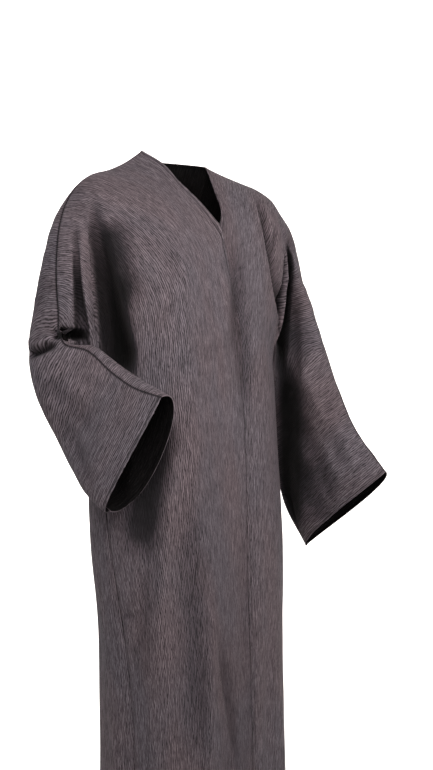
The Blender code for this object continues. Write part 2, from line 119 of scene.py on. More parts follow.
# %% Levels
# The body of the robe, level by level: an ellipse with its own depth in front and behind. lap is
# how far the right front goes past the middle, underlap the left, and seam_turn is how far the
# side seam swings forward.
Level = namedtuple("Level", "z mid_x mid_y half_width front back lap underlap seam_turn")
LEVELS = [
    Level(-1.42, 0.016, -0.022, 0.199, 0.150, 0.122, 0.070, 0.050, 29),
    Level(-1.10, 0.016, -0.022, 0.197, 0.148, 0.120, 0.070, 0.050, 27),
    Level(-0.98, 0.014, -0.020, 0.199, 0.148, 0.122, 0.070, 0.050, 24),
    Level(-0.77, 0.007, -0.014, 0.210, 0.148, 0.128, 0.070, 0.050, 18),
    Level(-0.60, 0.004, -0.006, 0.206, 0.149, 0.128, 0.070, 0.050, 11),
    Level(-0.46, 0.003, 0.000, 0.200, 0.150, 0.122, 0.068, 0.044, 5),
    Level(-0.36, 0.000, 0.000, 0.193, 0.156, 0.117, 0.060, 0.030, 4),
    Level(-0.28, 0.000, 0.000, 0.190, 0.155, 0.113, 0.042, 0.010, 4),
    Level(-0.20, 0.000, 0.000, 0.184, 0.135, 0.110, 0.030, -0.018, 4),
    Level(-0.15, 0.000, 0.000, 0.178, 0.107, 0.106, 0.034, -0.034, 4),
    Level(-0.10, 0.000, 0.000, 0.172, 0.085, 0.100, 0.034, -0.034, 4),
]


def level(name, z):
    """One size of the robe's body at height z."""
    return smooth(column(LEVELS, "z"), column(LEVELS, name), z)


print("half width at the underarm and at the hem, m:",
      [round(float(level("half_width", z)), 3) for z in (UNDERARM_Z, HEM_Z)])

# %% Waves of the skirt
# turn runs from the front middle towards the robe's right, and half_turn is half a wave's width
Wave = namedtuple("Wave", "turn top_z half_turn height")
WAVE_LENGTH = 0.45          # height over which a wave grows to its full height
WAVES = [
    Wave(66, -0.80, 14, -0.007), Wave(43, -0.55, 16, 0.007), Wave(27, -0.62, 13, -0.007),
    Wave(12, -0.80, 11, 0.009), Wave(1.5, -0.92, 7, -0.009), Wave(-10, -0.86, 12, 0.007),
    Wave(-30, -0.75, 14, -0.006), Wave(-50, -0.85, 13, 0.007), Wave(-74, -0.80, 13, -0.006),
    Wave(-98, -0.90, 13, 0.006), Wave(-122, -0.70, 15, -0.008), Wave(-148, -0.60, 15, 0.008),
    Wave(-172, -0.65, 14, -0.007), Wave(164, -0.55, 14, 0.008), Wave(138, -0.70, 15, -0.008),
    Wave(112, -0.75, 14, 0.006), Wave(90, -0.90, 12, -0.004),
]


def wave_height(turn, z):
    """How far the skirt stands out at a turn towards the robe's right."""
    height = np.zeros(np.broadcast(turn, z).shape)
    for wave in WAVES:
        off = (turn - wave.turn + 180) % 360 - 180
        grown = ease((wave.top_z - z) / WAVE_LENGTH)
        height = height + wave.height * bump(off / wave.half_turn) * grown
    return height


print("waves:", len(WAVES), "of up to", max(wave.height for wave in WAVES) * 1000, "mm")

# %% Points of the body
def body_point(side, turn, z):
    """Point of the robe's body: turn 0 is the front middle, 90 the side, 180 the back middle."""
    out = wave_height(-side * turn, z)
    turn = np.radians(turn)
    depth = np.where(np.cos(turn) > 0, level("front", z), level("back", z)) + out
    x = level("mid_x", z) + side * (level("half_width", z) + out) * np.sin(turn)
    y = level("mid_y", z) - depth * np.cos(turn)
    return np.stack([x, y, np.broadcast_to(z, x.shape)], axis=-1)


def line_turn(side, face, share, z):
    """Turn at which a thread line lies on the body. Share 1 is the side seam, 0 the other edge."""
    seam = 90 - level("seam_turn", z)
    if face == FRONT:
        past = level("lap" if side == RIGHT else "underlap", z) + side * level("mid_x", z)
        edge = -np.degrees(np.arcsin(past / level("half_width", z)))
    else:
        edge = np.full_like(seam, 180.0)
    return edge + (seam - edge) * share


corners = body_point(RIGHT, np.array([0.0, 90.0, 180.0]), np.array([HEM_Z] * 3))
print("front, right and back of the hem, m:", corners.round(3).tolist())

# %% [markdown]
# ## Seams of the sleeves
#
# The overarm seam runs from the neck over the shoulder and down the arm to the cuff, and the
# underarm seam comes back below it. A thread line leaves the overarm seam forwards or backwards,
# bends over and comes down to the body or to the underarm seam.

# %% Overarm seam
# Overarm seam from neck to cuff. turn is the heading in which the front leaves the seam, in
# degrees from +X, and the back leaves the other way. The two reaches round the cloth over, and
# the front rises from the seam where that lies below the top of the arm.
Over = namedtuple("Over", "place x y z turn front_reach back_reach rise")
OVERARM = {
    RIGHT: [
        Over("neck", -0.075, 0.030, 0.012, -52, 0.050, 0.020, 0.000),
        Over("slope", -0.110, 0.028, -0.012, -66, 0.060, 0.035, 0.000),
        Over("shoulder", -0.150, 0.024, -0.031, -76, 0.075, 0.050, 0.000),
        Over("point", -0.196, 0.020, -0.046, -80, 0.080, 0.065, 0.000),
        Over("cap", -0.230, 0.018, -0.074, -80, 0.085, 0.085, 0.000),
        Over("below cap", -0.250, 0.018, -0.106, -72, 0.085, 0.092, 0.000),
        Over("upper arm", -0.269, 0.005, -0.148, -64, 0.085, 0.100, 0.000),
        Over("mid upper arm", -0.283, -0.010, -0.206, -60, 0.080, 0.110, 0.000),
        Over("low upper arm", -0.288, -0.019, -0.266, -58, 0.066, 0.110, 0.000),
        Over("above elbow", -0.285, -0.026, -0.340, -48, 0.042, 0.104, 0.000),
        Over("elbow", -0.284, -0.030, -0.380, -20, 0.034, 0.068, 0.020),
        Over("below elbow", -0.247, -0.077, -0.402, 20, 0.062, 0.040, 0.085),
        Over("forearm", -0.222, -0.126, -0.442, 24, 0.090, 0.020, 0.105),
        Over("low forearm", -0.196, -0.174, -0.473, 16, 0.100, 0.015, 0.100),
        Over("cuff", -0.1625, -0.218, -0.490, 6, 0.088, 0.012, 0.060),
    ],
    LEFT: [
        Over("neck", 0.075, 0.030, -0.012, -128, 0.050, 0.020, 0.000),
        Over("slope", 0.1106, 0.027, -0.026, -114, 0.060, 0.035, 0.000),
        Over("shoulder", 0.1528, 0.024, -0.040, -104, 0.075, 0.050, 0.000),
        Over("point", 0.1950, 0.020, -0.054, -100, 0.080, 0.065, 0.000),
        Over("cap", 0.2263, 0.016, -0.074, -100, 0.085, 0.075, 0.000),
        Over("below cap", 0.2410, 0.006, -0.100, -108, 0.085, 0.070, 0.000),
        Over("upper arm", 0.2568, -0.010, -0.135, -116, 0.085, 0.065, 0.000),
        Over("mid upper arm", 0.2680, -0.024, -0.190, -120, 0.085, 0.060, 0.000),
        Over("low upper arm", 0.2740, -0.037, -0.250, -122, 0.080, 0.060, 0.000),
        Over("above elbow", 0.2887, -0.057, -0.3277, -125, 0.080, 0.060, 0.000),
        Over("elbow", 0.3020, -0.076, -0.3847, -130, 0.080, 0.060, 0.000),
        Over("below elbow", 0.3160, -0.102, -0.467, -140, 0.085, 0.060, 0.000),
        Over("forearm", 0.3290, -0.150, -0.557, -146, 0.085, 0.060, 0.000),
        Over("cuff", 0.3630, -0.2095, -0.645, -149, 0.050, 0.070, 0.000),
    ],
}


def over_runs(side):
    """Ways along the overarm seam at which the rows of its table lie."""
    points = np.array([(row.x, row.y, row.z) for row in OVERARM[side]])
    return np.concatenate([[0], np.cumsum(np.linalg.norm(np.diff(points, axis=0), axis=1))])


def over(side, name, run):
    """One size of the overarm seam at a way along it."""
    return float(smooth(over_runs(side), column(OVERARM[side], name), run))


def over_point(side, run):
    """Point of the overarm seam."""
    return np.array([over(side, axis, run) for axis in "xyz"])


def heading(side, run, face):
    """Level direction in which the front or the back leaves the overarm seam."""
    turn = math.radians(over(side, "turn", run))
    return face * np.array([math.cos(turn), math.sin(turn), 0])


for side in (RIGHT, LEFT):
    ways = [round(float(run), 2) for run in over_runs(side)]
    print("ways along an overarm seam, m:", dict(zip(column(OVERARM[side], "place"), ways)))

# %% Underarm seam
# Underarm seam, outward from the body, at the same runs as the overarm seam. lift holds the
# cloth up above the seam, so that near the body it comes down to it upright.
Under = namedtuple("Under", "run x y z front_reach back_reach lift")
UNDERARM = {
    RIGHT: [
        Under(0.29, -0.1963, -0.0131, -0.460, 0.065, 0.035, 0.100),
        Under(0.36, -0.235, 0.006, -0.472, 0.070, 0.045, 0.070),
        Under(0.44, -0.276, 0.034, -0.490, 0.050, 0.040, 0.050),
        Under(0.50, -0.288, 0.012, -0.526, 0.040, 0.032, 0.020),
        Under(0.59, -0.270, -0.037, -0.615, 0.055, 0.032, 0.000),
        Under(0.68, -0.252, -0.085, -0.670, 0.060, 0.045, -0.015),
        Under(0.78, -0.217, -0.142, -0.721, 0.095, 0.050, -0.030),
    ],
    LEFT: [
        Under(0.29, 0.2022, -0.0131, -0.460, 0.060, 0.035, 0.100),
        Under(0.40, 0.225, -0.003, -0.485, 0.044, 0.044, 0.050),
        Under(0.50, 0.235, 0.020, -0.530, 0.035, 0.040, 0.020),
        Under(0.59, 0.238, 0.014, -0.600, 0.036, 0.045, 0.000),
        Under(0.70, 0.249, -0.002, -0.715, 0.036, 0.050, 0.005),
        Under(0.80, 0.277, -0.0445, -0.806, 0.040, 0.055, 0.020),
    ],
}


def under(side, name, run):
    """One size of the underarm seam at the same way."""
    return float(smooth(column(UNDERARM[side], "run"), column(UNDERARM[side], name), run))


print("lowest points of the cuffs, m:", [UNDERARM[side][-1].z for side in (RIGHT, LEFT)])

# %% Front edges
# The two front edges above their crossing, from the neck down
Edge = namedtuple("Edge", "z x y")
NECKLINE = {
    RIGHT: [
        Edge(0.012, -0.075, 0.030),
        Edge(-0.0125, -0.048, 0.000),
        Edge(-0.055, -0.027, -0.040),
        Edge(-0.099, 0.003, -0.075),
        Edge(CROSSING_Z, 0.034, -0.105),
    ],
    LEFT: [
        Edge(-0.012, 0.075, 0.030),
        Edge(-0.035, 0.070, 0.005),
        Edge(-0.070, 0.061, -0.032),
        Edge(-0.1035, 0.055, -0.066),
        Edge(-0.130, 0.044, -0.090),
        Edge(CROSSING_Z, 0.034, -0.103),
    ],
}
PATH_POINTS = 260           # points on a worked-out curve before it is divided evenly


def edge_path(side):
    """Front edge from the neck to the crossing."""
    rows = NECKLINE[side][::-1]
    heights = np.linspace(rows[-1].z, rows[0].z, PATH_POINTS)
    zs = column(rows, "z")
    return np.stack([smooth(zs, column(rows, "x"), heights),
                     smooth(zs, column(rows, "y"), heights), heights], axis=-1)


print("neck points, m:", [edge_path(side)[0].round(3).tolist() for side in (RIGHT, LEFT)])

# %% Ways of the thread lines
LEAVE_SINK = 0.12           # share of its drop that a line has already sunk by as it leaves a seam
HANG_LIFT = 0.40            # share of its drop over which a line comes down upright
BACK_LAND_Z = -0.20         # height where the cloth of the back neck meets the back
NECK_BACK_Y = 0.076         # middle of the back neck edge
NECK_BACK_Z = -0.003
NECK_SHARE = 0.24           # part of the half back that hangs from the back neck edge


def bezier(start, leave, arrive, end):
    """Points of a curve that leaves start towards leave and reaches end from arrive."""
    t = np.linspace(0, 1, PATH_POINTS)[:, None]
    return ((1 - t)**3 * start + 3 * (1 - t)**2 * t * leave
            + 3 * (1 - t) * t**2 * arrive + t**3 * end)


def reach_name(face):
    """Name of the reach that the front or the back has in both tables."""
    return "front_reach" if face == FRONT else "back_reach"


def ring_path(side, face, run, end, low_reach, lift):
    """Way of a thread line from the overarm seam down to a given end."""
    start = over_point(side, run)
    out = heading(side, run, face)
    reach = over(side, reach_name(face), run)
    rise = over(side, "rise", run) * face * reach / over(side, "front_reach", run)
    leave = start + out * reach + np.array([0, 0, rise - LEAVE_SINK * (start[2] - end[2])])
    arrive = end + out * low_reach + np.array([0, 0, lift])
    return bezier(start, leave, arrive, end)


def neck_path(side, share):
    """Line down from the back neck edge; share 0 is the back middle, 1 the neck point."""
    corner = over_point(side, 0)
    turn = 0.5 * math.pi * share
    start = np.array([corner[0] * math.sin(turn),
                      corner[1] + (NECK_BACK_Y - corner[1]) * math.cos(turn),
                      NECK_BACK_Z + (corner[2] - NECK_BACK_Z) * (1 - math.cos(turn))])
    low_turn = line_turn(side, BACK, NECK_SHARE * share, np.array([BACK_LAND_Z]))
    end = body_point(side, low_turn, np.array([BACK_LAND_Z]))[0]
    out = heading(side, 0, BACK) * share + np.array([0, 1, 0]) * (1 - share)
    drop = start[2] - end[2]
    leave = start + out * over(side, "back_reach", 0) - np.array([0, 0, LEAVE_SINK * drop])
    arrive = end + np.array([0, 0, HANG_LIFT * drop])
    return bezier(start, leave, arrive, end)


print("middle of the back neck, m:", neck_path(RIGHT, 0)[0].round(3).tolist())

# %% [markdown]
# ## Large folds
#
# A raised arm leaves spare cloth beside the chest. It falls into a deep hollow and a narrow gap,
# with a standing fold between them, and the bent elbow pinches a crease into the sleeve. Each is
# a soft trough pressed into the cloth along a slanting line.

# %% Troughs
# Troughs in the fronts between chest and arm. across and z are read on an upright plane turned
# 30 degrees from the front towards that side, and the trough is pressed square into it. inner
# and outer are its half widths towards the chest and towards the arm.
Trough = namedtuple("Trough", "place top_across top_z low_across low_z inner outer depth")
TROUGH_TURN = math.radians(30)
TROUGH_END = 0.075          # height over which a trough runs out below its low end
TROUGH_RUNS = 0.44, 0.52    # the sleeve is untouched beyond these runs
TROUGH_FLOOR = -0.128       # no trough is pressed further back than this beside the arm,
DEEP_FLOOR = -0.050         # and than this beside the chest
FLOOR_ACROSS = 0.174, 0.122  # between these places
TROUGH_EDGE = 0.5           # how much sharper the rim of a trough is at its low end
TROUGHS = {
    RIGHT: [
        Trough("hollow beside the chest", 0.174, -0.075, 0.131, -0.400, 0.048, 0.026, 0.160),
        Trough("gap beside the arm", 0.203, -0.180, 0.190, -0.360, 0.014, 0.017, 0.070),
    ],
    LEFT: [
        Trough("hollow beside the chest", 0.168, -0.080, 0.180, -0.400, 0.032, 0.022, 0.050),
    ],
}
TROUGH_TOP = 0.35           # width of a trough at its top, as a share of its full width
LEAST_ROOM = 0.0001         # metres that a trough can always be pressed in


def press_troughs(side, points, weight):
    """Presses the troughs of one side into the points of its front."""
    cos, sin = math.cos(TROUGH_TURN), math.sin(TROUGH_TURN)
    across = side * points[..., 0] * cos + points[..., 1] * sin
    inward = np.array([-side * sin, cos, 0])
    shift = np.zeros(across.shape)
    for row in TROUGHS[side]:
        way = (row.top_z - points[..., 2]) / (row.top_z - row.low_z)
        middle = row.top_across + (row.low_across - row.top_across) * np.clip(way, 0, 1)
        spread = TROUGH_TOP + (1 - TROUGH_TOP) * np.clip(way, 0, 1)
        off = across - middle
        half = np.where(off < 0, row.inner, row.outer) * spread
        sharp = 1 - TROUGH_EDGE * np.clip(way, 0, 1)
        below = (row.low_z - points[..., 2]) / TROUGH_END
        shift = shift + row.depth * bump(off / half)**sharp * ease(way) * (1 - ease(below))
    first, last = FLOOR_ACROSS
    floor = TROUGH_FLOOR + (DEEP_FLOOR - TROUGH_FLOOR) * ease((across - first) / (last - first))
    room = np.maximum(floor - points @ inward, LEAST_ROOM)
    # A soft stop: the deeper the cloth is pressed, the less it gives, and it never passes the floor
    shift = weight * shift / (1 + (shift / room)**3)**(1 / 3)
    return points + shift[..., None] * inward, shift


print("troughs:", {side: column(rows, "place") for side, rows in TROUGHS.items()})

# %% Elbow crease
# The crease at the bent right elbow is pressed towards the arm's middle. Its depth goes from
# at_seam to the depth of each face within growth, and ends part of the way round. lip is the roll
# beyond it.
Crease = namedtuple("Crease", "run half_width at_seam front back growth front_end back_end lip lip_run")
ELBOW = Crease(0.462, 0.026, 0.012, 0.030, 0.022, 0.15, 0.50, 0.40, 0.006, 0.034)
CORE_DROP = 0.05            # depth of the arm's middle below the overarm seam


def press_elbow(points, runs, face):
    """Presses the elbow crease into a sleeve, and raises the roll beyond it."""
    way_round = np.linspace(0, 1, points.shape[1])[None, :]
    seams = np.array([over_point(RIGHT, run) for run in runs])
    ends = np.array([[under(RIGHT, axis, run) for axis in "xyz"] for run in runs])
    downs = (ends - seams) / np.linalg.norm(ends - seams, axis=1)[:, None]
    core = (seams + downs * CORE_DROP)[:, None, :]
    inward = (core - points) / np.linalg.norm(core - points, axis=2)[..., None]
    most, last = (ELBOW.front, ELBOW.front_end) if face == FRONT else (ELBOW.back, ELBOW.back_end)
    grown = ease(way_round / ELBOW.growth)
    depth = ELBOW.at_seam + (most - ELBOW.at_seam) * grown
    off = (runs - ELBOW.run)[:, None] / ELBOW.half_width
    roll = (runs - ELBOW.run - ELBOW.lip_run)[:, None] / ELBOW.half_width
    shift = (depth * bump(off) - ELBOW.lip * bump(roll)) * (1 - ease(way_round / last))
    return points + shift[..., None] * inward


print("elbow crease:", ELBOW.run, "m along the overarm seam and", ELBOW.front * 1000, "mm deep")

# %% [markdown]
# ## Where the fronts lap
#
# The right front lies on the left one. Two sheets at the same place would flicker and cut through
# each other, so the left front is set back as far as the right one covers it, and comes forward
# again softly beside it.

# %% Underlap
UNDERLAP = 0.006            # how far the left front lies behind the right front
UNDERLAP_EASE = 0.035       # width over which the left front comes forward again


def lay_under(points):
    """Moves the left front back where the right front covers it."""
    z = points[..., 2]
    rows = NECKLINE[RIGHT][::-1]
    neck = smooth(column(rows, "z"), column(rows, "x"), z)
    cover = np.where(z > CROSSING_Z, neck, level("lap", z))
    covered = 1 - ease((points[..., 0] - cover) / UNDERLAP_EASE)
    return points + (UNDERLAP * covered)[..., None] * np.array([0, 1, 0])


print("the left front lies", UNDERLAP * 1000, "mm behind the right one")

# %% [markdown]
# ## Places of the grid lines
#
# The cloth is a grid whose lines are thread lines. They lie a few millimetres apart, and closer
# beside a seam or a hem, because a seam is a sharp groove and a hem a narrow band with a step.

# %% Grid places
SEAM_STEPS = [0, 0.0012, 0.003, 0.0055, 0.009]                   # metres from a seam
HEM_STEPS = [0, 0.0012, 0.0035, 0.0047, 0.0056, 0.0066, 0.0090]  # metres from a hemmed edge
HEM_WIDTH = 0.0056
FRONT_WIDTH = 0.345         # flat width of a front from its edge to the side seam
HALF_BACK_WIDTH = 0.270     # flat width of the back from the neck point's thread line to the side
NECK_WIDTH = 0.078          # flat width of the half back below the neck edge


def places(length, step, start_steps, end_steps):
    """Places from 0 to length, with the given small steps at either end."""
    first = list(start_steps)
    last = [length - s for s in end_steps][::-1]
    count = max(2, round((last[0] - first[-1]) / step))
    middle = list(np.linspace(first[-1], last[0], count + 1)[1:-1])
    return np.array(first + middle + last)


def points_at(path, distances):
    """Points of a path at the given distances from its start."""
    lengths = np.concatenate([[0], np.cumsum(np.linalg.norm(np.diff(path, axis=0), axis=1))])
    return np.stack([np.interp(distances, lengths, path[:, k]) for k in range(3)], axis=-1)


def path_length(path):
    """Length of a path in metres."""
    return float(np.sum(np.linalg.norm(np.diff(path, axis=0), axis=1)))


def evened(path):
    """The same path with its points evenly spaced."""
    return points_at(path, np.linspace(0, path_length(path), PATH_POINTS))


def in_rows(path, count):
    """Points of a path in a number of rows: close at the overarm seam, then evenly spaced."""
    even = np.linspace(SEAM_STEPS[-1], path_length(path), count - len(SEAM_STEPS) + 1)
    return points_at(path, np.concatenate([SEAM_STEPS[:-1], even]))


print("steps at a hem, mm:", [round(s * 1000, 1) for s in HEM_STEPS])

# %% [markdown]
# ## Thread lines of a front and of the back
#
# The first line of a front is its hemmed edge, which follows the neck and has its own table. The
# lines beside it are drawn over to it, less and less, so the cloth lies flat up to the edge.

# %% Lines of the robe
SIDE_RUN = 0.29             # way along the overarm seam to the thread line of the side seam
EDGE_SHARE = 0.42           # share of a front's width within which lines follow its edge
LAND_BEND = 0.7             # below 1, lines near the front edge reach the body lower down


def hang_path(side, face, share):
    """Way of a body line from the overarm seam to where it lies on the body."""
    run = share * SIDE_RUN
    if face == FRONT:
        land_z = CROSSING_Z + (UNDERARM_Z - CROSSING_Z) * share**LAND_BEND
        body_share = share
    else:
        land_z = BACK_LAND_Z + (UNDERARM_Z - BACK_LAND_Z) * share
        body_share = NECK_SHARE + (1 - NECK_SHARE) * share
    zs = np.linspace(land_z, UNDERARM_Z, PATH_POINTS)
    low = body_point(side, line_turn(side, face, body_share, zs), zs)
    low_reach = under(side, reach_name(face), SIDE_RUN) * share**2
    lift = HANG_LIFT * (over(side, "z", run) - low[0][2])
    hang = ring_path(side, face, run, low[0], low_reach, lift)
    return hang, low


def torso_line(side, face, share, rows):
    """Thread line of the body from the overarm seam to the underarm level."""
    hang, low = hang_path(side, face, share)
    if face == FRONT and share < EDGE_SHARE:
        drawn_over = evened(edge_path(side)) - evened(hang_path(side, face, 0)[0])
        hang = evened(hang) + drawn_over * (1 - share / EDGE_SHARE)**3
    return in_rows(np.concatenate([hang, low[1:]]), rows)


def sleeve_line(side, face, run, rows):
    """Thread line round the sleeve from the overarm seam to the underarm seam."""
    end = np.array([under(side, axis, run) for axis in "xyz"])
    low_reach = under(side, reach_name(face), run)
    return in_rows(ring_path(side, face, run, end, low_reach, under(side, "lift", run)), rows)


def neck_line(side, share, rows):
    """Thread line of the back below the neck edge, down to the underarm level."""
    zs = np.linspace(BACK_LAND_Z, UNDERARM_Z, PATH_POINTS)
    low = body_point(side, line_turn(side, BACK, NECK_SHARE * share, zs), zs)
    return in_rows(np.concatenate([neck_path(side, share), low[1:]]), rows)


print("side line from shoulder to underarm, m:",
      round(path_length(torso_line(RIGHT, FRONT, 1, 60)), 3))

# %% [markdown]
# ## Grids
#
# A half panel is two grids that share a line: the body part down to the hem, and the sleeve. Each
# point also knows how far it is from a seam and from a hemmed edge, measured on the flat cloth.

# %% Grid of hanging lines
# u and v are places on the flat cloth, across and along the warp. seam and edge are the ways to
# the next seam and to the next hemmed edge, and depth is how far a point is pressed in. Once the
# grid is shaped, depth holds the painted shade of each point instead, from 0 to 1.
Grid = namedtuple("Grid", "points u v seam edge depth")
COLUMN_STEP = {FRONT: 0.0027, BACK: 0.0048}  # metres between hanging lines,
LOWER_STEP = {FRONT: 0.0090, BACK: 0.0115}   # and between rows below the arms


def lengths_down(points):
    """Way of each point down its own line."""
    steps = np.linalg.norm(np.diff(points, axis=1), axis=2)
    return np.concatenate([np.zeros((len(points), 1)), np.cumsum(steps, axis=1)], axis=1)


def torso_grid(side, face, lines_at, width, first_u, rows, body_share, below_neck=False):
    """Grid of thread lines that hang down to the hem."""
    heights = UNDERARM_Z - places(UNDERARM_Z - HEM_Z, LOWER_STEP[face], [0], HEM_STEPS)
    lower = [body_point(side, line_turn(side, face, body_share(share), heights), heights)
             for share in lines_at]
    upper = [neck_line(side, share, rows) if below_neck else torso_line(side, face, share, rows)
             for share in lines_at]
    points = np.array([np.concatenate([high, low[1:]]) for high, low in zip(upper, lower)])
    v = lengths_down(points)
    across = (1 - np.asarray(lines_at))[:, None] * width
    above = np.maximum(v[:, rows - 1:rows] - v, 0)
    seam = np.minimum(v, np.hypot(across, above))
    edge = v[:, -1:] - v
    u = first_u + np.asarray(lines_at) * width
    return Grid(points, u, v, seam, edge, np.zeros(v.shape))


print("lines of a front:", len(places(FRONT_WIDTH, COLUMN_STEP[FRONT], HEM_STEPS, SEAM_STEPS)))

# %% Half panels
# Metres between the lines round a sleeve, and rows from the overarm seam to the underarm level
SLEEVE_STEP = {(RIGHT, FRONT): 0.0030, (RIGHT, BACK): 0.0034,
               (LEFT, FRONT): 0.0028, (LEFT, BACK): 0.0060}
UPPER_ROWS = {FRONT: 86, BACK: 72}


def half_panel(side, face):
    """The body grid and the sleeve grid of one front, or of one half of the back."""
    rows = UPPER_ROWS[face]
    if face == FRONT:
        width, first_u = FRONT_WIDTH, 0.0
        lines_at = places(width, COLUMN_STEP[face], HEM_STEPS, SEAM_STEPS) / width
        torso = torso_grid(side, face, lines_at, width, first_u, rows, lambda share: share)
        torso = torso._replace(edge=np.minimum(torso.edge, (lines_at * width)[:, None]))
    else:
        width, first_u = HALF_BACK_WIDTH, NECK_WIDTH
        lines_at = places(width, COLUMN_STEP[face], [0], SEAM_STEPS) / width
        torso = torso_grid(side, face, lines_at, width, first_u, rows,
                           lambda share: NECK_SHARE + (1 - NECK_SHARE) * share)
        torso = torso._replace(edge=np.minimum(torso.edge, np.hypot((lines_at * width)[:, None],
                                                                    torso.v)))
    last = over_runs(side)[-1]
    runs = SIDE_RUN + places(last - SIDE_RUN, SLEEVE_STEP[side, face], [0], HEM_STEPS)
    points = np.array([sleeve_line(side, face, run, rows) for run in runs])
    points[0] = torso.points[-1, :rows]
    if side == RIGHT:
        points = press_elbow(points, runs, face)
    body = torso.points
    body_depth, sleeve_depth = torso.depth, np.zeros(points.shape[:2])
    if face == FRONT:
        first, end = TROUGH_RUNS
        fade = 1 - ease((runs - first) / (end - first))
        body, body_depth = press_troughs(side, body, np.ones(body.shape[:2]))
        fade = fade[:, None] * np.ones(points.shape[:2])
        points, sleeve_depth = press_troughs(side, points, fade)
    if (side, face) == (LEFT, FRONT):
        body = lay_under(body)
    v = lengths_down(points)
    seam = np.minimum(v, v[:, -1:] - v)
    edge = np.broadcast_to((last - runs)[:, None], v.shape)
    sleeve = Grid(points, torso.u[-1] + runs - SIDE_RUN, v, seam, edge, sleeve_depth)
    return [torso._replace(points=body, depth=body_depth), sleeve]


halves = {(side, face): half_panel(side, face) for side in (RIGHT, LEFT) for face in (FRONT, BACK)}
for face in (FRONT, BACK):
    for grid in halves[RIGHT, face] + halves[LEFT, face]:
        print("grid", "front" if face == FRONT else "back", grid.points.shape[:2])

# %% Middle of the back
NO_SEAM = 1.0               # metres to a seam, where there is none near


def neck_grid():
    """The middle of the back, below the back neck edge."""
    rows = UPPER_ROWS[BACK]
    half = places(NECK_WIDTH, COLUMN_STEP[BACK], [0], [0]) / NECK_WIDTH
    parts = []
    for side in (RIGHT, LEFT):
        part = torso_grid(side, BACK, half, NECK_WIDTH, 0.0, rows,
                          lambda share: NECK_SHARE * share, below_neck=True)
        part = part._replace(seam=np.full(part.v.shape, NO_SEAM),
                             edge=np.minimum(part.edge, part.v))
        parts.append(part)
    right, left = parts
    joined = [np.concatenate([a[::-1], b[1:]]) for a, b in zip(right, left)]
    joined[1] = np.concatenate([-right.u[::-1], left.u[1:]])
    return Grid(*joined)


back_middle = neck_grid()
print("middle of the back:", back_middle.points.shape[:2])
